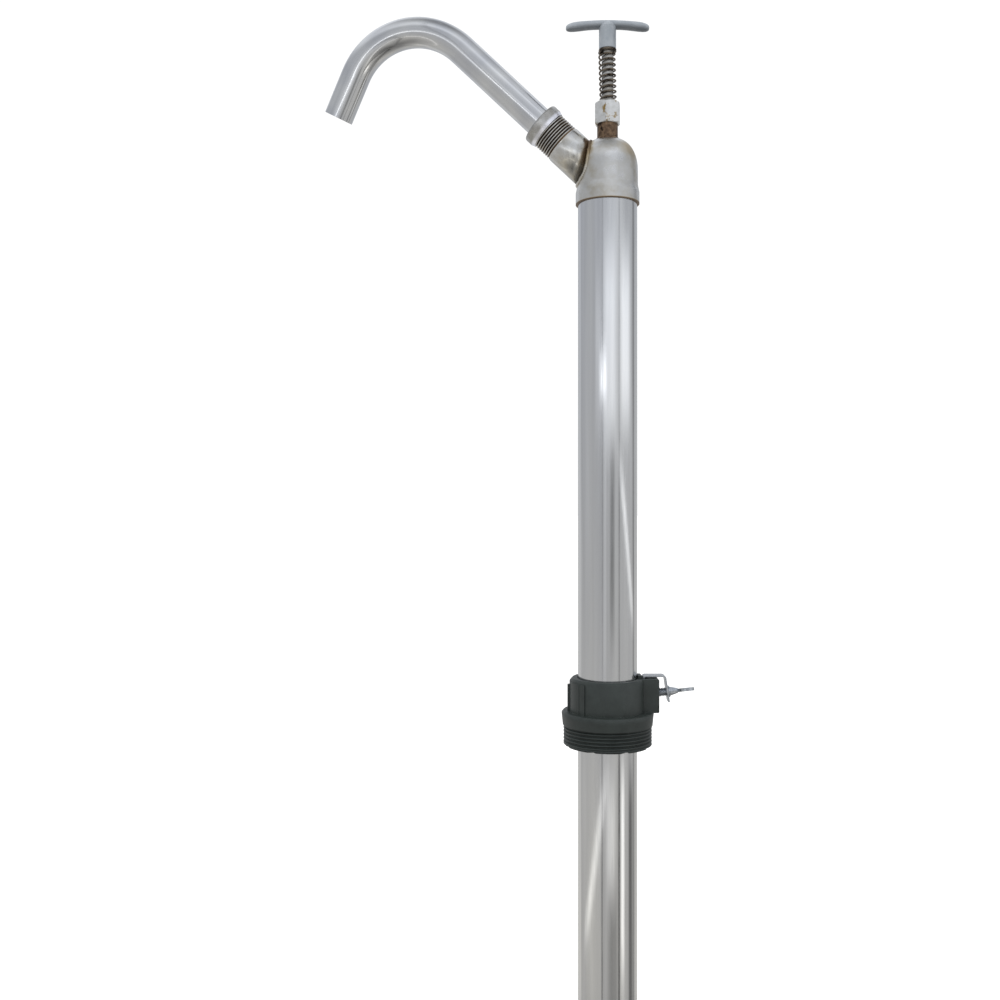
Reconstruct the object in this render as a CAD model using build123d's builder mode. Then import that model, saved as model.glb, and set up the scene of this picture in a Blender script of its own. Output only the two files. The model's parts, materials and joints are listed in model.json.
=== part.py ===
from build123d import *
import math
import os

# Lift-action drum pump: a stainless barrel that hangs through a bung adaptor, a welded head with a
# gland and a side branch, a swan-neck spout, and a T-handle on a rod that works a piston at the foot.
# Millimetres. +Z runs up the barrel's axis, and the origin lies on it at the underside of the bung
# adaptor's flange. The spout leans towards -X and the clamp sits on +X.

os.makedirs("parts", exist_ok=True)

# ---------------------------------------------------------------- driving dimensions
barrel_radius = 20.0
barrel_wall = 1.2
bore_radius = barrel_radius - barrel_wall
skirt_height = 351.6                      # lower edge of the head over the adaptor's flange
barrel_reach = 900.0                      # barrel below the head's lower edge
barrel_foot = skirt_height - barrel_reach
stroke = 450.0
rod_radius = 4.0
fit_gap = 0.05                            # radial gap of a running fit

# head
sheet = 1.5
skirt_radius = barrel_radius + sheet
head_radius = 20.5
dome_base = skirt_height + 20.0
dome_rise = 24.5
barrel_top = skirt_height + 8.5

# gland, heights over the head's lower edge
boss_radius = 7.0
boss_foot = skirt_height + 40.5
boss_top = skirt_height + 64.5
stuffing_radius = 5.6
stuffing_floor = skirt_height + 50.0
nut_foot = skirt_height + 54.0
nut_top = skirt_height + 70.0
nut_ceiling = nut_top - 3.4
nut_flats = 16.0

# handle and its cushion spring
spring_foot = nut_top + 0.1
spring_top = skirt_height + 103.5
spring_radius = 6.0
spring_wire = 1.2
spring_turns = 9.5
hub_foot = skirt_height + 104.8
hub_radius = 5.8
handle_span = 56.3
handle_crown = skirt_height + 124.6
handle_height = 5.6
handle_depth = 8.5

# outlet branch and spout, on one slanted axis
branch_angle = math.radians(43)
branch_height = skirt_height + 12.7
branch_radius = 13.45
branch_bore = 11.0
branch_end = 57.8                         # distances along the slanted axis
branch_thread_radius = 13.22              # G 3/4
branch_thread_root = 12.06
branch_thread_pitch = 1.814
branch_thread_start = 41.2
union_radius = 14.4
union_start = 54.6
union_end = 62.9
spout_radius = 10.0
spout_wall = 1.2
spout_swing = math.radians(14.0)           # about the branch's axis, away from -Y
spout_bend_start = 134.9
spout_bend_radius = 47.5
spout_turn = 106.4
spout_tip = 30.5

# bung adaptor
bung_thread_radius = 29.8                 # G 2
bung_thread_root = 28.35
bung_thread_pitch = 2.309
bung_thread_turns = 5
bung_foot = -13.8
flange_height = 9.1
flange_radius = 31.1
neck_radius = 25.0
neck_top = 31.5
adaptor_bore = 20.4
lug_face = 34.0
lug_width = 18.0
rib_width = 3.0
tongue_back = 23.2                        # springy tongue between the barrel and the clamp
tongue_top = 33.4
tongue_width = 10.0
ribs = (                                  # azimuth, reach from the axis, top
    (180, 27.1, 27.1),
    (214, 25.9, 29.0),
    (148, 25.9, 29.0),
    (112, 25.9, 29.0),
)

# clamp, on a screw axis that points slightly upwards
screw_tilt = math.radians(6)
screw_start = (38.0, 21.7)                # x and z of a point on the screw's axis
screw_radius = 3.0                        # M6
screw_root = 2.4
screw_pitch = 1.0
grip_roll = math.radians(10)              # the grip stands this much off level
clamp_travel = 2.0
clip_thickness = 1.0
clip_width = 9.0

# piston and foot valve, heights over the barrel's foot
piston_foot = barrel_foot + 46.0
piston_radius = 18.2
seal_groove_radius = 15.0
foot_body_top = barrel_foot + 29.0
foot_flange = barrel_foot - 5.0
spigot_foot = barrel_foot - 20.0
spigot_radius = 16.0


# ---------------------------------------------------------------- planes and axes
def outwards(azimuth):
    """The level direction away from the barrel's axis at an azimuth in degrees."""
    a = math.radians(azimuth)
    return Vector(math.cos(a), math.sin(a), 0)


def half_plane(azimuth):
    """A plane through the barrel's axis: local x points outwards, local y points up."""
    return Plane(origin=(0, 0, 0), x_dir=outwards(azimuth), z_dir=outwards(azimuth - 90))


def facing(azimuth, distance, height):
    """A plane that faces outwards, at a distance from the barrel's axis and a height: local x is up."""
    origin = outwards(azimuth) * distance + Vector(0, 0, height)
    return Plane(origin=origin, x_dir=(0, 0, 1), z_dir=outwards(azimuth))


branch_dir = Vector(-math.cos(branch_angle), 0, math.sin(branch_angle))
branch_side = Plane(
    origin=(0, 0, branch_height),
    x_dir=(math.sin(branch_angle), 0, math.cos(branch_angle)),
    z_dir=(0, -1, 0),
)
branch_axis = Axis((0, 0, branch_height), branch_dir)
bend_side = branch_side.x_dir * math.cos(spout_swing) - Vector(0, math.sin(spout_swing), 0)
spout_side = Plane(
    origin=(0, 0, branch_height), x_dir=bend_side, z_dir=bend_side.cross(branch_dir)
)

screw_dir = Vector(math.cos(screw_tilt), 0, math.sin(screw_tilt))
screw_up = Vector(-math.sin(screw_tilt), 0, math.cos(screw_tilt))
screw_origin = Vector(screw_start[0], 0, screw_start[1])
screw_side = Plane(origin=screw_origin, x_dir=screw_up, z_dir=(0, 1, 0))
screw_axis = Axis(screw_origin, screw_dir)


def across_screw(distance):
    """A plane square to the screw's axis, at a distance along it, with local y upwards."""
    return Plane(origin=screw_origin + screw_dir * distance, x_dir=(0, 1, 0), z_dir=screw_dir)


# ---------------------------------------------------------------- shared shapes
def lathe(outline, mode=Mode.ADD, plane=Plane.XZ, axis=Axis.Z):
    """Turn a closed (radius, distance) outline about an axis, into the part being built."""
    with BuildSketch(plane) as profile:
        with BuildLine():
            Polyline(*outline, close=True)
        make_face()
    revolve(profile.sketch, axis=axis, mode=mode)


def lathe_on_branch(outline, mode=Mode.ADD):
    lathe(outline, mode, branch_side, branch_axis)


def lathe_on_screw(outline, mode=Mode.ADD):
    lathe(outline, mode, screw_side, screw_axis)


def ring(inner, outer, low, high):
    """The outline of a plain ring."""
    return [(inner, low), (outer, low), (outer, high), (inner, high)]


def thread_outline(crest, root, pitch, start, turns):
    """The zigzag side of a screw thread, cut as parallel grooves with a narrow land on each crest."""
    side = []
    for turn in range(turns):
        low = start + turn * pitch
        side += [(crest, low), (crest, low + 0.2 * pitch)]
        side += [(root, low + 0.5 * pitch), (root, low + 0.7 * pitch)]
    side += [(crest, start + turns * pitch)]
    return side


def dome_points(radius, rise):
    """A squarish dome: a superellipse from its widest circle to its pole."""
    angles = [math.radians(a) for a in (0, 20, 40, 60, 75, 90)]
    return [
        (radius * max(math.cos(a), 0) ** 0.8, dome_base + rise * math.sin(a) ** 0.8)
        for a in angles
    ]


def head_form(side, radius, rise):
    """The solid inside the head's outer or inner skin: a stepped side under the dome."""
    with BuildPart() as form:
        with BuildSketch(Plane.XZ):
            with BuildLine():
                Polyline((0, skirt_height), *side, (radius, dome_base))
                crown = Spline(*dome_points(radius, rise), tangents=((0, 1), (-1, 0)))
                Line(crown @ 1, (0, skirt_height))
            make_face()
        revolve(axis=Axis.Z)
    return form.part


head_skin = head_form(
    [
        (skirt_radius, skirt_height),
        (skirt_radius, skirt_height + 7.5),
        (head_radius, skirt_height + 12.3),
    ],
    head_radius,
    dome_rise,
)
head_cavity = head_form(
    [
        (barrel_radius, skirt_height),
        (barrel_radius, skirt_height + 9.5),
        (head_radius - sheet, skirt_height + 13.0),
    ],
    head_radius - sheet,
    dome_rise - sheet,
)

# ---------------------------------------------------------------- barrel and head
foot_screw_height = barrel_foot + 16.0
foot_screw_azimuths = (90, 210, 330)

with BuildPart() as barrel:
    lathe(ring(bore_radius, barrel_radius, barrel_foot, barrel_top))
    for azimuth in foot_screw_azimuths:
        with BuildSketch(facing(azimuth, 0, foot_screw_height)):
            Circle(2.0)
        extrude(amount=barrel_radius + 1, mode=Mode.SUBTRACT)

with BuildPart() as head_cap:
    add(head_skin)
    add(head_cavity, mode=Mode.SUBTRACT)
    lathe(ring(0, boss_radius, dome_base, dome_base + 2 * dome_rise), Mode.SUBTRACT)
    lathe_on_branch(ring(0, branch_bore, 0, 2 * head_radius), Mode.SUBTRACT)

with BuildPart() as gland_boss:
    lathe([
        (rod_radius + fit_gap + 0.05, boss_foot),
        (boss_radius, boss_foot),
        (boss_radius, boss_top - 0.8),
        (boss_radius - 0.8, boss_top),
        (stuffing_radius, boss_top),
        (stuffing_radius, stuffing_floor),
        (rod_radius + fit_gap + 0.05, stuffing_floor - 1.0),
    ])

with BuildPart() as outlet_branch:
    thread_turns = int((branch_end - 0.4 - branch_thread_start) / branch_thread_pitch)
    lathe_on_branch(
        [(0, 4), (branch_radius, 4), (branch_radius, branch_thread_start - 0.6)]
        + thread_outline(
            branch_thread_radius, branch_thread_root, branch_thread_pitch, branch_thread_start, thread_turns
        )
        + [(branch_thread_root, branch_end), (0, branch_end)]
    )
    add(head_skin, mode=Mode.SUBTRACT)
    lathe_on_branch(ring(0, branch_bore, 0, branch_end), Mode.SUBTRACT)

# ---------------------------------------------------------------- gland
packing_ring_height = 3.2

with BuildPart() as gland_packing:
    for level in range(3):
        low = stuffing_floor + level * packing_ring_height
        lathe(ring(rod_radius + fit_gap, stuffing_radius, low + 0.02, low + packing_ring_height - 0.02))

with BuildPart() as gland_follower:
    follower_foot = stuffing_floor + 3 * packing_ring_height + 0.02
    inner = rod_radius + fit_gap + 0.05
    lathe([
        (inner, follower_foot),
        (stuffing_radius - fit_gap, follower_foot),
        (stuffing_radius - fit_gap, boss_top + 0.3),
        (boss_radius - 0.2, boss_top + 0.3),
        (boss_radius - 0.2, nut_ceiling - 0.1),
        (inner, nut_ceiling - 0.1),
    ])

with BuildPart() as gland_nut:
    with BuildSketch(Plane.XY.offset(nut_foot)):
        RegularPolygon(radius=nut_flats / 2, side_count=6, major_radius=False, rotation=19.5)
    extrude(amount=nut_top - nut_foot)
    lathe(
        [
            (0, nut_foot),
            (8.0, nut_foot),
            (9.3, nut_foot + 1.2),
            (9.3, nut_top - 3.0),
            (8.6, nut_top - 1.8),
            (6.0, nut_top),
            (0, nut_top),
        ],
        Mode.INTERSECT,
    )
    lathe(ring(0, boss_radius + fit_gap, nut_foot, nut_ceiling), Mode.SUBTRACT)
    lathe(ring(0, rod_radius + 0.4, nut_ceiling, nut_top), Mode.SUBTRACT)

# ---------------------------------------------------------------- handle, cushion spring and rod
with BuildPart() as cushion_spring:
    coil_radius = spring_radius - spring_wire / 2
    rise = spring_top - spring_foot - spring_wire
    with BuildLine(Plane.XY.offset(spring_foot + spring_wire / 2)) as coil:
        Helix(pitch=rise / spring_turns, height=rise, radius=coil_radius)
    with BuildSketch(Plane(origin=coil.line @ 0, z_dir=coil.line % 0)):
        Circle(spring_wire / 2)
    sweep(path=coil.line, is_frenet=True)

with BuildPart() as spring_seat_washer:
    lathe(ring(rod_radius + 0.3, spring_radius, spring_top + 0.05, hub_foot - 0.05))

with BuildPart() as t_handle:
    # The bar has oval sections and droops a little towards its blunt, round ends.
    for reach in (-1, -0.975, -0.87, -0.45, 0, 0.45, 0.87, 0.975, 1):
        droop = reach * reach
        tip = math.sqrt(max(1.0 - abs(reach) ** 22, 0.03))
        height = handle_height * tip
        depth = (handle_depth - 1.0 * droop) * tip
        middle = handle_crown - handle_height / 2 - 2.3 * droop
        along = reach * handle_span / 2
        with BuildSketch(Plane(origin=(along, 0, middle), x_dir=(0, 1, 0), z_dir=(1, 0, 0))):
            Ellipse(depth / 2, height / 2)
    loft()
    lathe([
        (0, hub_foot),
        (hub_radius - 0.4, hub_foot),
        (hub_radius, hub_foot + 0.4),
        (hub_radius, handle_crown - 4.4),
        (hub_radius - 0.7, handle_crown - 2.9),
        (hub_radius - 2.4, handle_crown - 1.3),
        (0, handle_crown - 0.5),
    ])
    lathe(ring(0, rod_radius, hub_foot, handle_crown - 7.5), Mode.SUBTRACT)

# the stop collar ends the lift under the gland; its pin passes through the collar and the rod
collar_top = boss_foot - stroke - 0.3
pin_height = collar_top - 6

with BuildPart() as pump_rod:
    lathe([
        (0, piston_foot + 28.0),
        (rod_radius - 0.6, piston_foot + 28.0),
        (rod_radius, piston_foot + 28.6),
        (rod_radius, handle_crown - 8.1),
        (rod_radius - 0.6, handle_crown - 7.5),
        (0, handle_crown - 7.5),
    ])
    with Locations((0, 0, pin_height)):
        Cylinder(radius=1.5, height=16, rotation=(90, 0, 0), mode=Mode.SUBTRACT)

with BuildPart() as lift_stop_collar:
    lathe(ring(rod_radius, 7.5, collar_top - 12, collar_top))
    chamfer(edges().filter_by(GeomType.CIRCLE).filter_by(lambda e: e.radius > 7), length=0.8)
    with Locations((0, 0, pin_height)):
        Cylinder(radius=1.5, height=16, rotation=(90, 0, 0), mode=Mode.SUBTRACT)

with BuildPart() as stop_collar_pin:
    with Locations((0, 0, pin_height)):
        Cylinder(radius=1.5, height=14.6, rotation=(90, 0, 0))

# ---------------------------------------------------------------- spout and its union
gasket_end = branch_end + 1.1
flange_start = gasket_end + fit_gap
flange_end = flange_start + 1.7
seat_radius = branch_thread_root - 0.16

with BuildPart() as spout_gasket:
    lathe_on_branch(ring(spout_radius - spout_wall, seat_radius, branch_end, gasket_end))

with BuildPart() as spout_nut:
    lip = flange_end + 0.1
    lathe_on_branch([
        (branch_thread_radius + fit_gap, union_start),
        (union_radius - 0.9, union_start),
        (union_radius, union_start + 2.6),
        (union_radius, union_end),
        (spout_radius + 0.3, union_end),
        (spout_radius + 0.3, lip),
        (seat_radius + 0.2, lip),
        (seat_radius + 0.2, branch_end + 0.2),
        (branch_thread_radius + fit_gap, branch_end + 0.2),
    ])
    outer_rims = edges().filter_by(GeomType.CIRCLE).filter_by(lambda e: e.radius > union_radius - 0.01)
    fillet(outer_rims.sort_by(branch_axis)[-1], radius=1.3)

with BuildPart() as spout:
    with BuildLine(spout_side) as route:
        leg = Line((0, flange_start), (0, spout_bend_start))
        bend = JernArc(leg @ 1, leg % 1, spout_bend_radius, spout_turn)
        Line(bend @ 1, bend @ 1 + (bend % 1) * spout_tip)
    with BuildSketch(Plane(origin=leg @ 0, z_dir=leg % 0)):
        Circle(spout_radius)
        Circle(spout_radius - spout_wall, mode=Mode.SUBTRACT)
    sweep(path=route.line)
    lathe_on_branch(ring(spout_radius - spout_wall, seat_radius, flange_start, flange_end))

# ---------------------------------------------------------------- bung adaptor
seal_low = 2.0
seal_high = 5.6
seal_groove = 23.0
slot_floor = 10.8
inner_leg = tongue_back + 0.3 + clip_thickness / 2
slot_back = inner_leg + clip_thickness / 2 + clamp_travel + 0.3
slit = 0.6
pocket_end = -6.3                         # along the screw's axis

with BuildPart() as bung_adaptor:
    thread_start = -bung_thread_turns * bung_thread_pitch - 0.6
    lathe(
        [(0, bung_foot), (bung_thread_root + 0.3, bung_foot)]
        + thread_outline(
            bung_thread_radius, bung_thread_root, bung_thread_pitch, thread_start, bung_thread_turns
        )
        + [
            (bung_thread_radius, 0),
            (flange_radius - 0.8, 0),
            (flange_radius, flange_height - 1.2),
            (flange_radius - 1.0, flange_height),
            (neck_radius, flange_height),
            (neck_radius, neck_top - 1.2),
            (neck_radius - 1.2, neck_top),
            (0, neck_top),
        ]
    )
    # clamp lug, grip ribs and the raised pad across the front
    with BuildSketch(Plane.XY.offset(flange_height)):
        with Locations((lug_face / 2, 0)):
            Rectangle(lug_face, lug_width)
    extrude(amount=neck_top - flange_height)
    fillet(edges().filter_by(lambda e: e.center().X > lug_face - 0.1 and e.length > 3), radius=1.0)
    for azimuth, reach, rib_top in ribs:
        with BuildSketch(facing(azimuth, reach - 4, (flange_height + rib_top) / 2)):
            Rectangle(rib_top - flange_height, rib_width)
        extrude(amount=4)
    with BuildSketch(half_plane(228)) as pad:
        with Locations((neck_radius, (flange_height + 29.4) / 2)):
            Rectangle(1.4, 29.4 - flange_height)
    revolve(pad.sketch, axis=Axis.Z, revolution_arc=-102)
    with BuildSketch(Plane.XY.offset(neck_top)):
        with Locations(((adaptor_bore + tongue_back) / 2 - 0.5, 0)):
            Rectangle(tongue_back - adaptor_bore + 1, tongue_width)
    extrude(amount=tongue_top - neck_top)
    fillet(edges().filter_by(Axis.Y).group_by(Axis.Z)[-1].sort_by(Axis.X)[-1], radius=1.0)
    # bore, seal groove and the cored ring under the flange, braced by webs
    lathe(ring(0, adaptor_bore, bung_foot - 1, tongue_top + 1), Mode.SUBTRACT)
    lathe(ring(adaptor_bore - 1, seal_groove, seal_low, seal_high), Mode.SUBTRACT)
    for azimuth in range(0, 360, 45):
        with BuildSketch(half_plane(azimuth)) as core:
            with Locations((25.4, (bung_foot - 1) / 2)):
                Rectangle(2.6, -bung_foot - 1)
        revolve(core.sketch, axis=Axis.Z, revolution_arc=38, mode=Mode.SUBTRACT)
    # slot for the clamp's inner leg, with slits that free the tongue in front of it
    slot_width = tongue_width + 2 * slit
    with BuildSketch(Plane.XY.offset(slot_floor)):
        with Locations(((tongue_back + slot_back) / 2, 0)):
            Rectangle(slot_back - tongue_back, slot_width)
    extrude(amount=neck_top, mode=Mode.SUBTRACT)
    with BuildSketch(Plane.XY.offset(slot_floor + 3.2)):
        with Locations((tongue_back - 1.5, -tongue_width / 2 - slit / 2),
                       (tongue_back - 1.5, tongue_width / 2 + slit / 2)):
            Rectangle(5.0, slit)
    extrude(amount=neck_top, mode=Mode.SUBTRACT)
    # pocket for the captive nut, open to the slot, and the screw's way through the lug
    with BuildSketch(across_screw(pocket_end)):
        RegularPolygon(radius=5.1, side_count=6, major_radius=False)
    extrude(amount=-5.0, mode=Mode.SUBTRACT)
    with BuildSketch(across_screw(-12.5)):
        Circle(screw_radius + 0.3)
    extrude(amount=16, mode=Mode.SUBTRACT)

with BuildPart() as adaptor_seal_ring:
    inner = barrel_radius + fit_gap
    outer = seal_groove - fit_gap
    lathe([
        (inner, seal_low + 1.0),
        (inner + 0.9, seal_low + 0.1),
        (outer, seal_low + 0.1),
        (outer, seal_high - 0.1),
        (inner + 0.9, seal_high - 0.1),
        (inner, seal_high - 1.0),
    ])

with BuildPart() as clamp_nut:
    with BuildSketch(across_screw(pocket_end - 0.05)):
        RegularPolygon(radius=5.0, side_count=6, major_radius=False)
        Circle(screw_radius + fit_gap, mode=Mode.SUBTRACT)
    extrude(amount=-4.0)

# ---------------------------------------------------------------- clamp
bridge_level = neck_top + 0.9 + clip_thickness / 2

with BuildPart() as clamp_clip:
    with BuildLine(Plane.XZ) as strip:
        FilletPolyline(
            (inner_leg, slot_floor + 0.6),
            (inner_leg, bridge_level),
            (38.6, bridge_level),
            (41.2, 15.5),
            radius=1.6,
        )
    with BuildSketch(Plane(origin=strip.line @ 0, x_dir=(0, 1, 0), z_dir=strip.line % 0)):
        Rectangle(clip_width, clip_thickness)
    sweep(path=strip.line)
    with BuildSketch(across_screw(0)):
        Circle(screw_radius + 0.35)
    extrude(amount=5, mode=Mode.SUBTRACT)

with BuildPart() as thumb_screw:
    shank_tip = -13.1
    hub_start = 3.15
    lathe_on_screw(
        [(0, shank_tip), (screw_root - 0.3, shank_tip), (screw_root, shank_tip + 0.5)]
        + thread_outline(screw_radius, screw_root, screw_pitch, shank_tip + 0.7, 14)
        + [
            (screw_radius, hub_start),
            (3.9, hub_start),
            (3.9, hub_start + 0.8),
            (3.0, hub_start + 1.2),
            (1.7, hub_start + 6.4),
            (0, hub_start + 6.4),
        ]
    )
    # the spade-shaped grip, with a shallow dish on each face
    grip_origin = screw_origin + screw_dir * (hub_start + 11.8)
    grip_normal = screw_up * math.cos(grip_roll) + Vector(0, math.sin(grip_roll), 0)
    grip_centre = Plane(origin=grip_origin, x_dir=screw_dir, z_dir=grip_normal)
    with BuildSketch(grip_centre):
        Ellipse(5.9, 5.6)
    extrude(amount=1.1, both=True)
    for side in (-1, 1):
        with BuildSketch(grip_centre.offset(side * 0.6)):
            Ellipse(4.4, 4.0)
        extrude(amount=side * 2, mode=Mode.SUBTRACT)

# ---------------------------------------------------------------- piston
seal_levels = (piston_foot + 3.0, piston_foot + 14.0)
seal_height = 4.2
yoke_floor = piston_foot + 27.3
piston_top = piston_foot + 33.3

with BuildPart() as piston_body:
    lathe([
        (7.0, piston_foot),
        (piston_radius - 0.8, piston_foot),
        (piston_radius, piston_foot + 0.8),
        (piston_radius, piston_top - 0.8),
        (piston_radius - 0.8, piston_top),
        (15.5, piston_top),
        (15.5, yoke_floor),
        (12.5, yoke_floor),
        (12.5, piston_foot + 10.5),
        (7.0, piston_foot + 5.0),
    ])
    for level in seal_levels:
        lathe(ring(seal_groove_radius, piston_radius + 1, level, level + seal_height), Mode.SUBTRACT)

with BuildPart() as piston_seals:
    for level in seal_levels:
        lathe(ring(
            seal_groove_radius + fit_gap, bore_radius - fit_gap, level + 0.1, level + seal_height - 0.1
        ))

with BuildPart() as piston_ball:
    with Locations((0, 0, piston_foot + 12.25)):
        Sphere(10.0)

with BuildPart() as piston_yoke:
    lathe([
        (rod_radius, yoke_floor),
        (15.5, yoke_floor),
        (15.5, piston_top),
        (6.5, piston_top),
        (6.5, piston_top + 8.0),
        (rod_radius, piston_top + 8.0),
    ])
    for azimuth in (15, 105, 195, 285):
        with BuildSketch(half_plane(azimuth)) as window:
            with Locations((9.75, (yoke_floor + piston_top) / 2)):
                Rectangle(5.5, piston_top - yoke_floor + 2)
        revolve(window.sketch, axis=Axis.Z, revolution_arc=60, mode=Mode.SUBTRACT)

with BuildPart() as rod_lock_nut:
    with BuildSketch(Plane.XY.offset(piston_top + 8.0)):
        RegularPolygon(radius=6.5, side_count=6, major_radius=False)
        Circle(rod_radius, mode=Mode.SUBTRACT)
    extrude(amount=6.5)

# ---------------------------------------------------------------- foot valve
stop_pin_height = barrel_foot + 26.2

with BuildPart() as foot_valve_body:
    lathe([
        (7.0, spigot_foot),
        (spigot_radius, spigot_foot),
        (spigot_radius, foot_flange),
        (barrel_radius - 0.6, foot_flange),
        (barrel_radius, foot_flange + 0.6),
        (barrel_radius, barrel_foot),
        (bore_radius, barrel_foot),
        (bore_radius, foot_body_top - 0.8),
        (bore_radius - 0.8, foot_body_top),
        (13.5, foot_body_top),
        (13.5, barrel_foot + 5.5),
        (7.0, barrel_foot - 1.0),
    ])
    lathe(ring(17.0, bore_radius + 1, barrel_foot + 8.0, barrel_foot + 10.6), Mode.SUBTRACT)
    with Locations((0, 0, stop_pin_height)):
        Cylinder(radius=1.5, height=2 * barrel_radius, rotation=(0, 90, 0), mode=Mode.SUBTRACT)
    for azimuth in foot_screw_azimuths:
        with BuildSketch(facing(azimuth, 14.3, foot_screw_height)):
            Circle(2.0)
        extrude(amount=barrel_radius, mode=Mode.SUBTRACT)

with BuildPart() as foot_seal_ring:
    middle = barrel_foot + 9.3
    lathe([
        (17.0, middle - 0.7),
        (17.5, middle - 1.2),
        (bore_radius - 0.4, middle - 1.2),
        (bore_radius, middle - 0.7),
        (bore_radius, middle + 0.7),
        (bore_radius - 0.4, middle + 1.2),
        (17.5, middle + 1.2),
        (17.0, middle + 0.7),
    ])

with BuildPart() as foot_ball:
    with Locations((0, 0, barrel_foot + 7.7)):
        Sphere(11.0)

with BuildPart() as ball_stop_pin:
    with Locations((0, 0, stop_pin_height)):
        Cylinder(radius=1.5, height=2 * bore_radius - 0.6, rotation=(0, 90, 0))

with BuildPart() as foot_screws:
    for azimuth in foot_screw_azimuths:
        with BuildSketch(facing(azimuth, 14.4, foot_screw_height)):
            Circle(2.0)
        extrude(amount=5.5)
        with BuildSketch(facing(azimuth, 18.4, foot_screw_height)):
            RegularPolygon(radius=1.0, side_count=6, major_radius=False)
        extrude(amount=3, mode=Mode.SUBTRACT)

with BuildPart() as suction_strainer:
    lathe([
        (0, spigot_foot - 1.2),
        (spigot_radius + 0.4, spigot_foot - 1.2),
        (spigot_radius + 1.2, spigot_foot - 0.4),
        (spigot_radius + 1.2, foot_flange - 1.0),
        (spigot_radius, foot_flange - 1.0),
        (spigot_radius, spigot_foot),
        (0, spigot_foot),
    ])
    for circle_radius, count in ((0, 1), (4.2, 6), (8.4, 12), (12.6, 18)):
        with Locations((0, 0, spigot_foot - 1.2)):
            with PolarLocations(circle_radius, count):
                Cylinder(radius=1.25, height=6, mode=Mode.SUBTRACT)

# ---------------------------------------------------------------- one file for each piece
pieces = {
    "barrel": barrel,
    "head_cap": head_cap,
    "gland_boss": gland_boss,
    "outlet_branch": outlet_branch,
    "gland_packing": gland_packing,
    "gland_follower": gland_follower,
    "gland_nut": gland_nut,
    "cushion_spring": cushion_spring,
    "spring_seat_washer": spring_seat_washer,
    "t_handle": t_handle,
    "pump_rod": pump_rod,
    "lift_stop_collar": lift_stop_collar,
    "stop_collar_pin": stop_collar_pin,
    "spout_gasket": spout_gasket,
    "spout_nut": spout_nut,
    "spout": spout,
    "bung_adaptor": bung_adaptor,
    "adaptor_seal_ring": adaptor_seal_ring,
    "clamp_nut": clamp_nut,
    "clamp_clip": clamp_clip,
    "thumb_screw": thumb_screw,
    "piston_body": piston_body,
    "piston_seals": piston_seals,
    "piston_ball": piston_ball,
    "piston_yoke": piston_yoke,
    "rod_lock_nut": rod_lock_nut,
    "foot_valve_body": foot_valve_body,
    "foot_seal_ring": foot_seal_ring,
    "foot_ball": foot_ball,
    "ball_stop_pin": ball_stop_pin,
    "foot_screws": foot_screws,
    "suction_strainer": suction_strainer,
}
for name, piece in pieces.items():
    piece.part.label = name
    export_step(piece.part, f"parts/{name}.step")
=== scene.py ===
# %% [markdown]
# # A drum barrel pump
# This script dresses a finished CAD model of a hand pump for drums. The CAD part holds every size and every
# joint, so nothing is measured again here: places come from the boxes and the joints of the CAD model, in metres,
# with +Z up along the barrel. Blender adds what the CAD leaves out: weld beads, helical threads, a coiled spring,
# softened edges, and surfaces that look like polished steel, heat tint, enamel, zinc and nylon.

# %% Load the frame
import json
import math

import bmesh
import bpy
from mathutils import Matrix, Vector, noise


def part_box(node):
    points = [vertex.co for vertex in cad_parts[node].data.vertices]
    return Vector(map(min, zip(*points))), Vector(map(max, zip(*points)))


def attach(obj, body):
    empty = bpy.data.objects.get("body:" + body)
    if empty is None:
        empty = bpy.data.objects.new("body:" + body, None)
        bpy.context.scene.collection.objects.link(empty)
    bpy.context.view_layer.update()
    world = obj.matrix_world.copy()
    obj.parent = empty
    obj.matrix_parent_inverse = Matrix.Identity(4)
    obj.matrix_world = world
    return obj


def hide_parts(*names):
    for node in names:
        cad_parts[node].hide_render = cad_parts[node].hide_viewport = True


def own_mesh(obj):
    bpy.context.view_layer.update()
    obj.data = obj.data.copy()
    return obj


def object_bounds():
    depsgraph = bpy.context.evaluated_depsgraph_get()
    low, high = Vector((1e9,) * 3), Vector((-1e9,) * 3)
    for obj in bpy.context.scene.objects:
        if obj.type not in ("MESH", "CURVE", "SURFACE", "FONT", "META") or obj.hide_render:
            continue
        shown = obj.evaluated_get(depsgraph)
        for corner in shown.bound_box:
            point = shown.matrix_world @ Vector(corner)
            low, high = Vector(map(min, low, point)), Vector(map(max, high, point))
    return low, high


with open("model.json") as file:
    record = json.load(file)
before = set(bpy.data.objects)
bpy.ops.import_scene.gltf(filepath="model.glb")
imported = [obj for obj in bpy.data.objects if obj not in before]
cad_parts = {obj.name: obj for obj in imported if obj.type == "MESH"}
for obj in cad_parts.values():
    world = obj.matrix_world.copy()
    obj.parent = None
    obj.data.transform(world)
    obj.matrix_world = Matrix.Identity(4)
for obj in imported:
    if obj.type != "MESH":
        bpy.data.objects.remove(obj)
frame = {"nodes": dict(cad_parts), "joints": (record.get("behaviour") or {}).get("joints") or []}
cad_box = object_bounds()
nodes = frame["nodes"]
joints = {joint["name"]: joint for joint in frame["joints"]}
MM = 0.001
TURN = 2 * math.pi

# %% [markdown]
# ## Where things are
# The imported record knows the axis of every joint. The slanted axis of the outlet branch is the axis on which the
# spout swings, so it is read from that joint. Levels on the upright axis come from the boxes of the nodes. Every
# new piece is placed from these few values.

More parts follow.
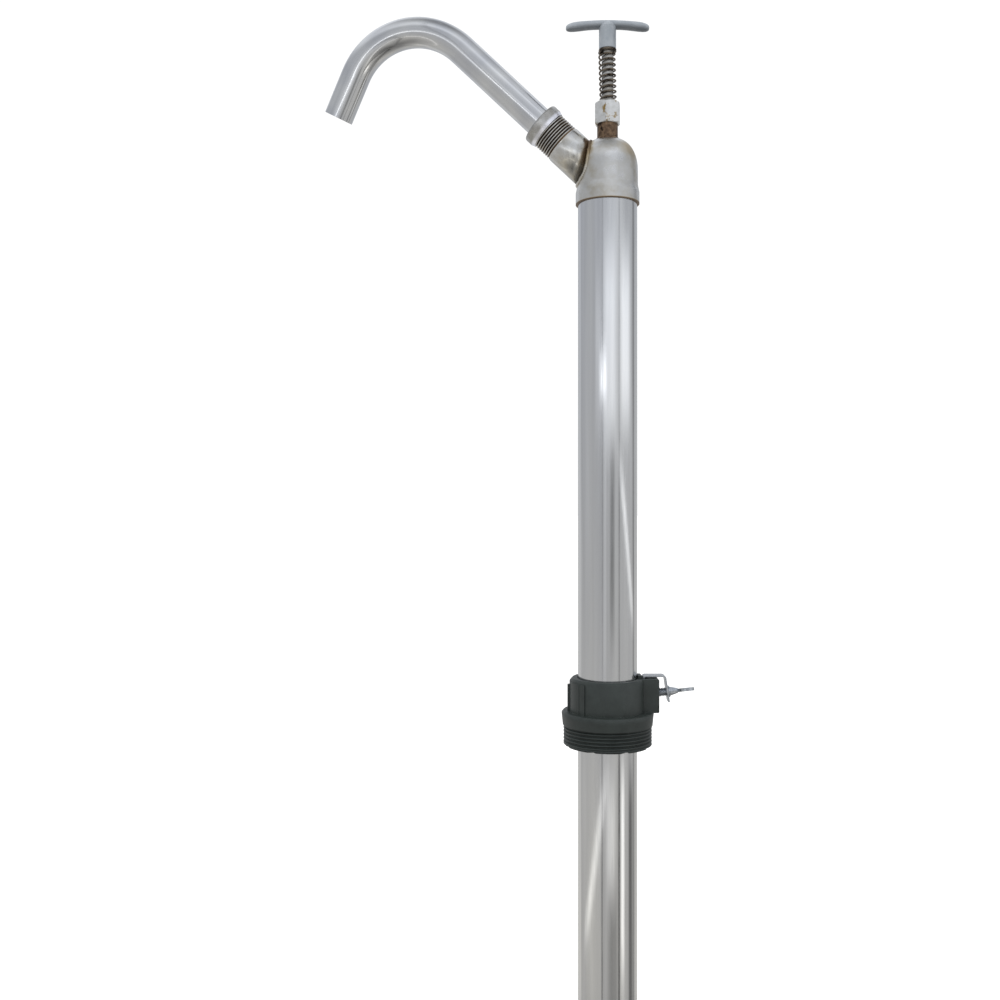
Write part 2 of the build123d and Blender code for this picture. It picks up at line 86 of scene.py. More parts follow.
# %% Axes and levels
branch_dir = Vector(joints["spout_turn"]["axis"]).normalized()
branch_point = Vector(joints["spout_turn"]["pos_m"])
branch_foot = branch_point - branch_dir * (branch_point.x / branch_dir.x)
branch_side = Vector((branch_dir.z, 0, -branch_dir.x))
branch_turn = Matrix((branch_side, Vector((0, -1, 0)), branch_dir)).transposed()
head_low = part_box("head_cap")[0].z
print("the branch meets the barrel's axis at z =", round(branch_foot.z / MM, 1), "mm")

# %% [markdown]
# ## One helper for materials
# A material is a small network of nodes. One function adds a node, sets its values and joins its inputs, so that a
# finish reads as a list of steps. A second one turns a colour written as sRGB hex, the way a colour picker shows
# it, into the linear values that the renderer works in.

# %% Colour and node helpers
def linear(hex_colour):
    """#RRGGBB in sRGB to a linear RGBA tuple, by the sRGB standard's own curve."""
    channels = [int(hex_colour[i:i + 2], 16) / 255 for i in (1, 3, 5)]
    return tuple(c / 12.92 if c <= 0.04045 else ((c + 0.055) / 1.055) ** 2.4 for c in channels) + (1.0,)


def put(tree, kind, settings=None, **links):
    """Add a node. settings names its properties or inputs; links names inputs, with _0 for input number 0."""
    node = tree.nodes.new("ShaderNode" + kind)
    for key, value in (settings or {}).items():
        if key == "stops":
            elements = node.color_ramp.elements
            while len(elements) < len(value):
                elements.new(0.5)
            for element, (position, colour) in zip(elements, value):
                element.position = position
                element.color = linear(colour) if isinstance(colour, str) else (colour, colour, colour, 1)
        elif isinstance(key, str) and hasattr(node, key):
            setattr(node, key, value)
        else:
            node.inputs[key].default_value = value
    for key, source in links.items():
        socket = source.outputs[0] if isinstance(source, bpy.types.Node) else source
        tree.links.new(socket, node.inputs[int(key[1:]) if key[1:].isdigit() else key.replace("_", " ")])
    return node


def finish(name, **values):
    """A new node material: its tree, its shader with plain values set, and the place on the object in metres."""
    material = bpy.data.materials.new(name)
    material.use_nodes = True
    tree = material.node_tree
    shader = tree.nodes["Principled BSDF"]
    for key, value in values.items():
        shader.inputs[key.replace("_", " ")].default_value = value
    return material, tree, shader, put(tree, "TexCoord").outputs["Object"]


print("mid grey in linear light:", round(linear("#808080")[0], 3))

# %% [markdown]
# ## Polished stainless tube
# The barrel and the spout are welded stainless tube, type 304, polished along its length. Such a surface is almost
# a mirror: what the eye reads is its surroundings, drawn out along the tube. So the material stays simple, with a
# high polish, fine lines along the tube that a belt leaves, and a slow waviness that bends the reflections.

# %% Polished tube
def polished_tube(name, along):
    """Buffed stainless. A belt's lines are about 0.15 mm apart; they are drawn 0.4 mm apart so that they show."""
    material, tree, shader, place = finish(name, Metallic=1.0)
    spread = put(tree, "Mapping", {"Scale": along}, Vector=place)
    lines = put(tree, "TexNoise", {"Scale": 1 / (0.4 * MM), "Detail": 2.0}, Vector=spread)
    clouds = put(tree, "TexNoise", {"Scale": 1 / (18 * MM), "Detail": 3.0, "Roughness": 0.5}, Vector=spread)
    tone = put(tree, "ValToRGB", {"stops": [(0.3, "#c3c4c6"), (0.7, "#d4d4d2")]}, Fac=clouds)
    polish = put(tree, "MapRange", {"From Min": 0.3, "From Max": 0.7, "To Min": 0.07, "To Max": 0.17}, Value=lines)
    relief = put(tree, "Bump", {"Strength": 0.10, "Distance": 0.02 * MM}, Height=lines)
    waves = put(tree, "Bump", {"Strength": 0.25, "Distance": 0.05 * MM}, Height=clouds, Normal=relief)
    tree.links.new(tone.outputs["Color"], shader.inputs["Base Color"])
    tree.links.new(polish.outputs[0], shader.inputs["Roughness"])
    tree.links.new(waves.outputs[0], shader.inputs["Normal"])
    return material


barrel_steel = polished_tube("polished_barrel_tube", (1.0, 1.0, 0.02))
spout_steel = polished_tube("polished_spout_tube", (1.0, 1.0, 1.0))
print("made", barrel_steel.name, "and", spout_steel.name)

# %% [markdown]
# ## Welded head
# The head is pressed and welded stainless sheet, cleaned but not buffed. Near a weld the steel has been hot, and a
# thin oxide film colours it straw, then brown. The film follows the seam, so the shader measures how far a point
# is from the plane of the seam between dome and branch and from the foot of the gland, and breaks that up with
# noise. The branch is also coloured a darker brown towards the root of its thread's grooves.

# %% Distances that the heat tint follows
# the crotch above the branch, and the seam's lowest point under it
seam_top = Vector((-12.0 * MM, 0, head_low + 42.0 * MM))
seam_low = Vector((-20.4 * MM, 0, head_low + 13.4 * MM))
seam_normal = Vector((seam_low.z - seam_top.z, 0, seam_top.x - seam_low.x)).normalized()


def from_seam(tree, place):
    """Distance from the plane of the seam between dome and branch."""
    offset = put(tree, "VectorMath", {"operation": "SUBTRACT", 1: seam_top}, _0=place)
    across = put(tree, "VectorMath", {"operation": "DOT_PRODUCT", 1: seam_normal}, _0=offset)
    return put(tree, "Math", {"operation": "ABSOLUTE"}, _0=across.outputs["Value"])


def heat(tree, place):
    """How hot the seam got: most in the crotch above the branch, where two runs of weld meet."""
    level = put(tree, "SeparateXYZ", None, Vector=place).outputs["Z"]
    low, high = head_low + 22 * MM, head_low + 41 * MM
    return put(tree, "MapRange", {"From Min": low, "From Max": high, "To Min": 0.22, "To Max": 1.0}, Value=level)


def from_branch_axis(tree, place):
    """Distance from the branch's slanted axis."""
    offset = put(tree, "VectorMath", {"operation": "SUBTRACT", 1: branch_foot}, _0=place)
    across = put(tree, "VectorMath", {"operation": "CROSS_PRODUCT", 1: branch_dir}, _0=offset)
    return put(tree, "VectorMath", {"operation": "LENGTH"}, _0=across).outputs["Value"]


print("seam plane leans", round(math.degrees(math.atan2(seam_normal.z, -seam_normal.x)), 1), "degrees")

# %% Satin head steel with heat tint
def welded_head():
    """Satin 304 sheet: slow clouds of straw colour, brown heat tint along the seams, and a painted shadow along the
    lower rim.
    """
    material, tree, shader, place = finish("satin_head_steel", Metallic=1.0)
    clouds = put(tree, "TexNoise", {"Scale": 1 / (13 * MM), "Detail": 4.0, "Roughness": 0.6}, Vector=place)
    grain = put(tree, "TexNoise", {"Scale": 1 / (0.5 * MM), "Detail": 2.0}, Vector=place)
    steel = put(tree, "ValToRGB", {"stops": [(0.35, "#d0d0ce"), (0.55, "#c4c2bc"), (0.74, "#b0a999")]}, Fac=clouds)
    ragged = put(tree, "Math", {"operation": "MULTIPLY", 1: 9 * MM}, _0=clouds)
    # heat tint at the seam with the branch
    near = put(tree, "Math", {"operation": "SUBTRACT"}, _0=from_seam(tree, place), _1=ragged)
    close = put(tree, "MapRange", {"From Min": -4.2 * MM, "From Max": 0.6 * MM, "To Min": 1.0, "To Max": 0.0},
                Value=near)
    around = put(tree, "MapRange", {"From Min": 15 * MM, "From Max": 21 * MM, "To Min": 1.0, "To Max": 0.0},
                 Value=from_branch_axis(tree, place))
    hot = put(tree, "Math", {"operation": "MULTIPLY"}, _0=close, _1=heat(tree, place))
    seam_tint = put(tree, "Math", {"operation": "MULTIPLY"}, _0=hot, _1=around)
    # straw patch on the shoulder away from the branch
    patch = put(tree, "VectorMath", {"operation": "DISTANCE", 1: (13 * MM, -8 * MM, head_low + 33 * MM)}, _0=place)
    patch_edge = put(tree, "Math", {"operation": "SUBTRACT"}, _0=patch.outputs["Value"], _1=ragged)
    patch_tint = put(tree, "MapRange", {"From Min": -1 * MM, "From Max": 8 * MM, "To Min": 0.42, "To Max": 0.0},
                     Value=patch_edge)
    # tint at the foot of the gland
    foot = put(tree, "VectorMath", {"operation": "DISTANCE", 1: (0, 0, head_low + 42 * MM)}, _0=place)
    foot_edge = put(tree, "Math", {"operation": "SUBTRACT"}, _0=foot.outputs["Value"], _1=ragged)
    foot_tint = put(tree, "MapRange", {"From Min": 2.5 * MM, "From Max": 6 * MM, "To Min": 0.8, "To Max": 0.0},
                    Value=foot_edge)
    both = put(tree, "Math", {"operation": "MAXIMUM"}, _0=seam_tint, _1=patch_tint)
    upper = put(tree, "Math", {"operation": "MAXIMUM"}, _0=both, _1=foot_tint)
    # painted shade along the lower rim: a dark line for the shadow in the gap where the barrel comes out
    level = put(tree, "SeparateXYZ", None, Vector=place).outputs["Z"]
    gap_shade_low, gap_shade_high = head_low + 0.2 * MM, head_low + 0.7 * MM
    gap_shade = put(tree, "MapRange", {"From Min": gap_shade_low, "From Max": gap_shade_high, "To Min": 0.8, "To Max": 0.0},
              Value=level)
    # tint carries both the real heat tint and the painted shadow of the lower rim
    tint = put(tree, "Math", {"operation": "MAXIMUM"}, _0=upper, _1=gap_shade)
    film = put(tree, "ValToRGB", {"stops": [(0.0, "#c4c0b6"), (0.5, "#a3916f"), (0.85, "#6d543c"), (1.0, "#4c3c30")]},
               Fac=tint)
    strength = put(tree, "MapRange", {"From Min": 0.0, "From Max": 0.3, "To Max": 0.92}, Value=tint)
    colour = put(tree, "Mix", {"data_type": "RGBA"}, Factor=strength, _6=steel.outputs["Color"],
                 _7=film.outputs["Color"])
    sheen = put(tree, "MapRange", {"From Min": 0.3, "From Max": 0.7, "To Min": 0.24, "To Max": 0.36}, Value=clouds)
    rough = put(tree, "Math", {"operation": "MULTIPLY_ADD", 1: 0.22}, _0=tint, _2=sheen)
    relief = put(tree, "Bump", {"Strength": 0.3, "Distance": 0.03 * MM}, Height=grain)
    dents = put(tree, "Bump", {"Strength": 0.5, "Distance": 0.25 * MM}, Height=clouds, Normal=relief)
    tree.links.new(colour.outputs[2], shader.inputs["Base Color"])
    tree.links.new(rough.outputs[0], shader.inputs["Roughness"])
    tree.links.new(dents.outputs[0], shader.inputs["Normal"])
    return material


head_steel = welded_head()
print("made", head_steel.name)

# %% Branch pipe: ground steel with brown grooves
def branch_pipe_steel():
    """Turned pipe, bright where it was turned, brown in the grooves of its thread and at its seam."""
    material, tree, shader, place = finish("branch_pipe_steel", Metallic=1.0)
    clouds = put(tree, "TexNoise", {"Scale": 1 / (11 * MM), "Detail": 4.0, "Roughness": 0.6}, Vector=place)
    grain = put(tree, "TexNoise", {"Scale": 1 / (0.4 * MM), "Detail": 2.0}, Vector=place)
    steel = put(tree, "ValToRGB", {"stops": [(0.35, "#cfcfcd"), (0.7, "#b9b4a8")]}, Fac=clouds)
    ragged = put(tree, "Math", {"operation": "MULTIPLY", 1: 8 * MM}, _0=clouds)
    near = put(tree, "Math", {"operation": "SUBTRACT"}, _0=from_seam(tree, place), _1=ragged)
    close = put(tree, "MapRange", {"From Min": -5.5 * MM, "From Max": 0.5 * MM, "To Min": 1.0, "To Max": 0.0},
                Value=near)
    seam_tint = put(tree, "Math", {"operation": "MULTIPLY"}, _0=close, _1=heat(tree, place))
    groove = put(tree, "MapRange", {"From Min": 12.15 * MM, "From Max": 12.95 * MM, "To Min": 1.0, "To Max": 0.0},
                 Value=from_branch_axis(tree, place))
    tint = put(tree, "Math", {"operation": "MAXIMUM"}, _0=seam_tint, _1=groove)
    film = put(tree, "ValToRGB", {"stops": [(0.0, "#bcb3a2"), (0.45, "#8c7152"), (0.8, "#4d3a2b"), (1.0, "#2e241d")]},
               Fac=tint)
    strength = put(tree, "MapRange", {"From Min": 0.0, "From Max": 0.3, "To Max": 0.95}, Value=tint)
    colour = put(tree, "Mix", {"data_type": "RGBA"}, Factor=strength, _6=steel.outputs["Color"],
                 _7=film.outputs["Color"])
    rough = put(tree, "MapRange", {"From Min": 0.0, "From Max": 1.0, "To Min": 0.2, "To Max": 0.55}, Value=tint)
    relief = put(tree, "Bump", {"Strength": 0.25, "Distance": 0.03 * MM}, Height=grain)
    dents = put(tree, "Bump", {"Strength": 0.4, "Distance": 0.2 * MM}, Height=clouds, Normal=relief)
    tree.links.new(colour.outputs[2], shader.inputs["Base Color"])
    tree.links.new(rough.outputs[0], shader.inputs["Roughness"])
    tree.links.new(dents.outputs[0], shader.inputs["Normal"])
    return material


pipe_steel = branch_pipe_steel()
print("made", pipe_steel.name)

# %% [markdown]
# ## Other metals
# The smaller metal pieces differ in how they were made. The gland boss was overheated and is brown and rough. The
# nuts are dull nickel plate, with yellow grease stains on the gland nut. The clamp is bright zinc plate, which has
# a faint blue cast and a fine spangle. The spring is bare wire, and the pieces inside the barrel are turned steel.
# One function makes all of them, because only colours, grain and stains change from one to the next.

# %% A metal with clouds, stains and grain
def metal(name, bright, dull, roughness, grain_mm, cloud_mm, stain=None, stain_share=0.4, edge_mm=0.25, dent=0.15):
    """Two close colours in clouds, an optional stain colour in patches, and edges softened by edge_mm."""
    material, tree, shader, place = finish(name, Metallic=1.0)
    clouds = put(tree, "TexNoise", {"Scale": 1 / (cloud_mm * MM), "Detail": 4.0, "Roughness": 0.6}, Vector=place)
    grain = put(tree, "TexNoise", {"Scale": 1 / (grain_mm * MM), "Detail": 2.0}, Vector=place)
    colour = put(tree, "ValToRGB", {"stops": [(0.35, bright), (0.68, dull)]}, Fac=clouds).outputs["Color"]
    low, high = roughness
    rough = put(tree, "MapRange", {"From Min": 0.3, "From Max": 0.7, "To Min": low, "To Max": high}, Value=grain)
    if stain:
        # the patches are moved aside, so that they don't follow the clouds
        aside = put(tree, "Mapping", {"Location": (0.31, 0.17, 0.05)}, Vector=place)
        patches = put(tree, "TexNoise", {"Scale": 1 / (1.7 * cloud_mm * MM), "Detail": 5.0, "Roughness": 0.65},
                      Vector=aside)
        mask = put(tree, "MapRange", {"From Min": 1 - stain_share, "From Max": 1.08 - stain_share}, Value=patches)
        colour = put(tree, "Mix", {"data_type": "RGBA", 7: linear(stain)}, Factor=mask, _6=colour).outputs[2]
        rough = put(tree, "Math", {"operation": "MULTIPLY_ADD", 1: 0.25}, _0=mask, _2=rough)
    edges = put(tree, "Bevel", {"samples": 4, "Radius": edge_mm * MM})
    relief = put(tree, "Bump", {"Strength": 0.3, "Distance": 0.04 * MM}, Height=grain, Normal=edges)
    dents = put(tree, "Bump", {"Strength": 0.5, "Distance": dent * MM}, Height=clouds, Normal=relief)
    tree.links.new(colour, shader.inputs["Base Color"])
    tree.links.new(rough.outputs[0], shader.inputs["Roughness"])
    tree.links.new(dents.outputs[0], shader.inputs["Normal"])
    return material


metals = {
    "gland_boss_steel": metal("overheated_boss_steel", "#8c745c", "#56463a", (0.36, 0.55), 0.5, 3, "#2e2621", 0.44),
    "gland_nut_plate": metal("dull_nickel_plate", "#e8e8e5", "#d2d1cc", (0.36, 0.5), 0.6, 4, "#a58b57", 0.46),
    "union_plate": metal("union_nickel_plate", "#b9b8b5", "#99968f", (0.26, 0.4), 0.5, 7, "#8a7f70", 0.36),
    "spring_wire": metal("bare_spring_wire", "#83786a", "#4e453b", (0.28, 0.42), 0.5, 4, "#352c24", 0.46),
    "turned_steel": metal("turned_steel", "#bdbcb8", "#a39f96", (0.24, 0.36), 0.5, 8),
    "zinc_plate": metal("bright_zinc_plate", "#c2c6ca", "#a4aab0", (0.2, 0.34), 0.9, 3, "#8f918c", 0.40),
    "bronze_bush": metal("gland_bronze", "#b98e57", "#8f6c40", (0.3, 0.42), 0.5, 6),
}

print("made", ", ".join(sorted(metals)))

# %% [markdown]
# ## A painted reflection on the union nut's chamfer
# The chamfer at the lower end of the union nut shows a bright reflection of its pale surroundings. That reflection is
# painted: a bright colour is mixed over the nut's own one there. How far a point lies out along the branch tells the
# shader where the chamfer is.

# %% A painted reflection on the union nut
tree = metals["union_plate"].node_tree
shader = tree.nodes["Principled BSDF"]
plate_colour = shader.inputs["Base Color"].links[0].from_socket
place = put(tree, "TexCoord").outputs["Object"]
from_foot = put(tree, "VectorMath", {"operation": "SUBTRACT", 1: branch_foot}, _0=place)
outward = put(tree, "VectorMath", {"operation": "DOT_PRODUCT", 1: branch_dir}, _0=from_foot).outputs["Value"]
# painted reflection: a near-white colour mixed over the chamfer stands in for the light that it reflects
glint_mask = put(tree, "MapRange", {"From Min": 56.4 * MM, "From Max": 57.6 * MM, "To Min": 0.95, "To Max": 0.0},
           Value=outward)
brightened = put(tree, "Mix", {"data_type": "RGBA", 7: linear("#f6f6fc")}, Factor=glint_mask, _6=plate_colour)
tree.links.new(brightened.outputs[2], shader.inputs["Base Color"])
print("rubbed the chamfer of", metals["union_plate"].name)

# %% [markdown]
# ## Enamel, nylon, rubber and PTFE
# The handle is a small casting dipped in blue-grey enamel: thick, soft-edged paint with an orange-peel skin and a
# few worn, paler places along its top. The adaptor is moulded nylon, charcoal grey, with the fine matt skin of a
# spark-eroded mould. The seals are rubber and PTFE. All are plain dielectrics, so the shader keeps its usual IOR,
# and colour, roughness and bump tell them apart.

# %% Skins that are not metal
def skin(name, pale, deep, roughness, grain_mm, cloud_mm, bump, edge_mm=0.4, **values):
    """Two close colours in clouds under a fine moulded or dipped skin."""
    material, tree, shader, place = finish(name, **values)
    clouds = put(tree, "TexNoise", {"Scale": 1 / (cloud_mm * MM), "Detail": 4.0, "Roughness": 0.6}, Vector=place)
    grain = put(tree, "TexNoise", {"Scale": 1 / (grain_mm * MM), "Detail": 3.0}, Vector=place)
    colour = put(tree, "ValToRGB", {"stops": [(0.35, deep), (0.65, pale)]}, Fac=clouds)
    low, high = roughness
    rough = put(tree, "MapRange", {"From Min": 0.3, "From Max": 0.7, "To Min": low, "To Max": high}, Value=clouds)
    edges = put(tree, "Bevel", {"samples": 4, "Radius": edge_mm * MM})
    relief = put(tree, "Bump", {"Strength": bump, "Distance": 0.06 * MM}, Height=grain, Normal=edges)
    tree.links.new(colour.outputs["Color"], shader.inputs["Base Color"])
    tree.links.new(rough.outputs[0], shader.inputs["Roughness"])
    tree.links.new(relief.outputs[0], shader.inputs["Normal"])
    return material


enamel = skin("blue_grey_enamel", "#9ba1a7", "#8b9299", (0.3, 0.45), 1.6, 7, 0.5, Coat_Weight=0.3,
              Coat_Roughness=0.2)
nylon = skin("charcoal_nylon", "#2a302e", "#202624", (0.42, 0.56), 0.5, 9, 0.35, 0.5)
rubber = skin("nitrile_rubber", "#2b2b2b", "#202020", (0.55, 0.7), 0.6, 6, 0.3)
ptfe = skin("white_ptfe", "#efeeea", "#e2e0da", (0.4, 0.5), 0.8, 6, 0.2)
print("made", enamel.name, nylon.name, rubber.name, ptfe.name)

# %% [markdown]
# ## Dress the CAD nodes
# Most CAD nodes already have the right shape and only need a finish. A table says which piece wears which.

# %% Finish for each CAD node
worn_by = {
    "barrel": barrel_steel,
    "spout": spout_steel,
    "head_cap": head_steel,
    "outlet_branch": pipe_steel,
    "gland_boss": metals["gland_boss_steel"],
    "gland_nut": metals["gland_nut_plate"],
    "spout_nut": metals["union_plate"],
    "cushion_spring": metals["spring_wire"],
    "spring_seat_washer": metals["spring_wire"],
    "clamp_clip": metals["zinc_plate"],
    "thumb_screw": metals["zinc_plate"],
    "clamp_nut": metals["zinc_plate"],
    "gland_follower": metals["bronze_bush"],
    "t_handle": enamel,
    "bung_adaptor": nylon,
    "adaptor_seal_ring": rubber,
    "foot_seal_ring": rubber,
    "gland_packing": ptfe,
    "spout_gasket": ptfe,
    "piston_seals": ptfe,
}
for name, node in nodes.items():
    node.data.materials.clear()
    node.data.materials.append(worn_by.get(name, metals["turned_steel"]))
print("dressed", len(nodes), "nodes;", len(nodes) - len(worn_by), "of them in turned steel")

# %% [markdown]
# ## Building surfaces from rings
# Tubes, threads, springs and weld beads are all one idea: a row of rings of points, joined into a skin. One helper
# does the joining, and a second one gives the piece its finish, the body that it moves with, and the CAD nodes
# that it stands for.

# %% Ring helpers
def skin_rings(name, rings, loop=False, caps=False):
    """Join rings of points into one smooth surface. loop closes the row of rings, caps closes its two ends."""
    shape = bmesh.new()
    rows = [[shape.verts.new(point) for point in ring] for ring in rings]
    pairs = list(zip(rows, rows[1:]))
    if loop:
        pairs.append((rows[-1], rows[0]))
    for low, high in pairs:
        for i in range(len(low)):
            j = (i + 1) % len(low)
            shape.faces.new((low[i], low[j], high[j], high[i]))
    if caps:
        shape.faces.new(rows[0][::-1])
        shape.faces.new(rows[-1])
    bmesh.ops.recalc_face_normals(shape, faces=shape.faces)
    for face in shape.faces:
        face.smooth = True
    data = bpy.data.meshes.new(name)
    shape.to_mesh(data)
    shape.free()
    piece = bpy.data.objects.new(name, data)
    bpy.context.scene.collection.objects.link(piece)
    return piece


def dress(piece, material, slot, body, *replaced):
    """Finish, body and replaced CAD nodes of a new piece; the slot argument is not used."""
    piece.data.materials.append(material)
    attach(piece, body)
    if replaced:
        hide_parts(*replaced)
    print(piece.name, "rides on", body, "with", len(piece.data.polygons), "faces")
    return piece


def circle_at(centre, normal, side, radius, steps):
    """A ring of points round centre, square to normal, starting towards side."""
    other = normal.cross(side).normalized()
    first = other.cross(normal).normalized()
    return [
        centre + (first * math.cos(TURN * i / steps) + other * math.sin(TURN * i / steps)) * radius
        for i in range(steps)
    ]


# %% [markdown]
# ## Threads
# The CAD cuts its threads as separate rings, which is enough for collision. A real thread is one groove that climbs
# by its pitch in each turn, so its crests sit half a pitch higher on one side than on the other. It could be made
# by sweeping a triangle along a helix, but a skin of rings whose radius depends on angle and height is simpler,
# never overlaps itself, and lets the groove fade in at its start, as a die leaves it.

# %% A pipe with a right-hand thread
ring_steps = 128


def threaded_skin(crest, root, pitch, start, end, fade, steps=ring_steps, per_pitch=10):
    """Rows of (radius, distance) for a rolled V thread between two distances; fade is its run-out length."""
    rows = []
    count = int((end - start) / pitch * per_pitch)
    for k in range(count + 1):
        distance = start + (end - start) * k / count
        # the groove deepens over the run-out, and is only a third as deep where the pipe ends
        depth = (crest - root) * min(1.0, (distance - start) / fade, (end - distance) / (0.3 * pitch) + 0.35)
        row = []
        for i in range(steps):
            phase = (distance - start) / pitch - i / steps
            # a cosine cut off at 0 and 1 gives the flat crest and root of a rolled thread
            groove = min(1.0, max(0.0, 0.5 - 0.68 * math.cos(TURN * phase)))
            row.append((crest - depth * groove, distance))
        rows.append(row)
    return rows


def place_rings(rows, foot, turn, steps=ring_steps):
    """Turn rows of (radius, distance), or single pairs, into rings of points about an axis."""
    rings = []
    for row in rows:
        pairs = row if isinstance(row, list) else [row] * steps
        rings.append([
            foot + turn @ Vector((r * math.cos(TURN * i / steps), r * math.sin(TURN * i / steps), d))
            for i, (r, d) in enumerate(pairs)
        ])
    return rings


# %% [markdown]
# ## The seam between the branch and the dome
# The slanted pipe ends where it meets the dome, along a curve that has no simple formula. A Boolean would find it,
# but it is easier to search for: at each angle round the pipe, a point walks out along the pipe's side, and halving
# the step again and again finds where it leaves the dome. The pipe ends just under that skin, inside the thickness
# of the sheet, so that it doesn't reach into the head. The weld bead follows the same curve later.

# %% Where the pipe leaves the dome
pipe_radius = 13.45 * MM
dome_radius = 20.5 * MM
dome_base = head_low + 20 * MM
dome_rise = 24.5 * MM
dome_power = 2.5  # fuller than a ball, whose power is 2
step_low, step_length, step_depth = 7.5 * MM, 4.8 * MM, 1.0 * MM


def inside_head(point):
    """True under the head's outer skin: the dome, and below it the skirt with its swaged step."""
    across = math.hypot(point.x, point.y)
    if point.z > dome_base:
        share = (point.z - dome_base) / dome_rise
        return share < 1 and across < dome_radius * (1 - share ** dome_power) ** (1 / dome_power)
    stepped = min(1.0, max(0.0, (point.z - head_low - step_low) / step_length))
    return across < dome_radius + step_depth * (1 - stepped)


def pipe_side(angle, radius):
    """From the branch's axis straight out to the pipe's side at this angle."""
    return branch_turn @ Vector((math.cos(angle), math.sin(angle), 0)) * radius


def seam_distance(angle, radius):
    """How far out along the branch its side at this angle passes through the head's skin."""
    side = pipe_side(angle, radius)
    low, high = 4 * MM, 45 * MM
    for _ in range(30):
        middle = (low + high) / 2
        if inside_head(branch_foot + branch_dir * middle + side):
            low = middle
        else:
            high = middle
    return low


def seam_row(radius, steps=ring_steps):
    """A row of (radius, distance) that ends the pipe inside the thickness of the dome's sheet."""
    under_skin = 0.7 * MM
    return [(radius, seam_distance(TURN * i / steps, radius) - under_skin) for i in range(steps)]


seam_radius = pipe_radius + 0.3 * MM
print("the seam lies", [round(seam_distance(a, seam_radius) / MM, 1) for a in (0, TURN / 4, TURN / 2)], "mm out")

# %% The branch pipe, from the seam to its thread
# G 3/4: 14 threads to the inch, 26.44 mm over the crests
pipe_bore = 11.0 * MM
branch_pitch = 1.814 * MM
thread_start, thread_end, pipe_end = 40.9 * MM, 57.6 * MM, 57.8 * MM
branch_rows = [seam_row(pipe_bore), seam_row(pipe_radius), (pipe_radius, 33 * MM), (pipe_radius, 40.3 * MM),
               (13.3 * MM, 40.7 * MM)]
branch_rows += threaded_skin(13.22 * MM, 12.06 * MM, branch_pitch, thread_start, thread_end, fade=2.2 * MM)
branch_rows += [(12.0 * MM, pipe_end), (pipe_bore, pipe_end)]
branch_pipe = skin_rings("branch_pipe", place_rings(branch_rows, branch_foot, branch_turn), loop=True)
dress(branch_pipe, pipe_steel, "head_steel", "barrel", "outlet_branch")

# %% [markdown]
# ## The adaptor's thread
# The moulded adaptor stays the CAD solid: its ribs, lug and slot are right. Only its ringed thread is wrong for the
# eye. A Boolean modifier takes those rings off, without touching the mesh, and a helical sleeve takes their place.

# %% Cut the rings off the adaptor and fit a helical sleeve
adaptor_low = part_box("bung_adaptor")[0].z
cutter_inner, cutter_outer = 28.2 * MM, 33 * MM
cutter_low, cutter_high = adaptor_low + 0.9 * MM, -0.15 * MM
cutter_rows = [(cutter_inner, cutter_low), (cutter_outer, cutter_low), (cutter_outer, cutter_high),
               (cutter_inner, cutter_high)]
upright = Matrix.Identity(3)
cutter = skin_rings("thread_cutter", place_rings(cutter_rows, Vector(), upright, 96), loop=True)
cutter.hide_render = True
cutter.hide_viewport = True
cut = nodes["bung_adaptor"].modifiers.new("take off the ringed thread", "BOOLEAN")
cut.operation = "DIFFERENCE"
cut.object = cutter
cut.solver = "EXACT"

# G 2: 11 threads to the inch, 59.6 mm over the crests
sleeve_pitch = 2.309 * MM
sleeve_steps = 160
sleeve_bore, sleeve_low, sleeve_high = 28.0 * MM, adaptor_low + 0.7 * MM, -0.1 * MM
sleeve_rows = [(sleeve_bore, sleeve_low), (28.6 * MM, sleeve_low)]
sleeve_rows += threaded_skin(29.8 * MM, 28.35 * MM, sleeve_pitch, adaptor_low + 1.1 * MM, -0.3 * MM, 1.6 * MM,
                             sleeve_steps)
sleeve_rows += [(29.7 * MM, sleeve_high), (sleeve_bore, sleeve_high)]
sleeve = skin_rings("adaptor_thread", place_rings(sleeve_rows, Vector(), upright, sleeve_steps), loop=True)
dress(sleeve, nylon, "charcoal_plastic", "adaptor")

# %% [markdown]
# ## Weld beads
# A weld bead is a row of small puddles that froze one after another. One bead runs along the seam found above, and
# one round the foot of the gland boss. Each is a thin tube along its path whose radius ripples, once for each
# puddle, with a little noise so that no two puddles are alike.

# %% Beads along a path
def weld_bead(name, path, radius, ripple_mm, seed):
    """A rippled tube along a closed path; ripple_mm is the length of one puddle."""
    length = sum((b - a).length for a, b in zip(path, path[1:] + path[:1]))
    puddles = round(length / (ripple_mm * MM))
    rings = []
    for k, centre in enumerate(path):
        along = (path[(k + 1) % len(path)] - path[k - 1]).normalized()
        wave = abs(math.sin(math.pi * puddles * k / len(path)))
        rough = noise.noise(centre / (2.5 * MM) + Vector((seed, seed, seed)))
        size = radius * (0.84 + 0.16 * wave + 0.22 * rough)
        rings.append(circle_at(centre, along, Vector((0, 0, 1)), size, 14))
    return skin_rings(name, rings, loop=True)


# %% The bead along the seam
bead_steps = 360
branch_path = []
for k in range(bead_steps):
    angle = TURN * k / bead_steps
    out = branch_dir * seam_distance(angle, seam_radius)
    branch_path.append(branch_foot + out + pipe_side(angle, seam_radius))
branch_bead = weld_bead("branch_weld_bead", branch_path, 1.15 * MM, 1.5, 3.0)
dress(branch_bead, head_steel, "head_steel", "barrel")

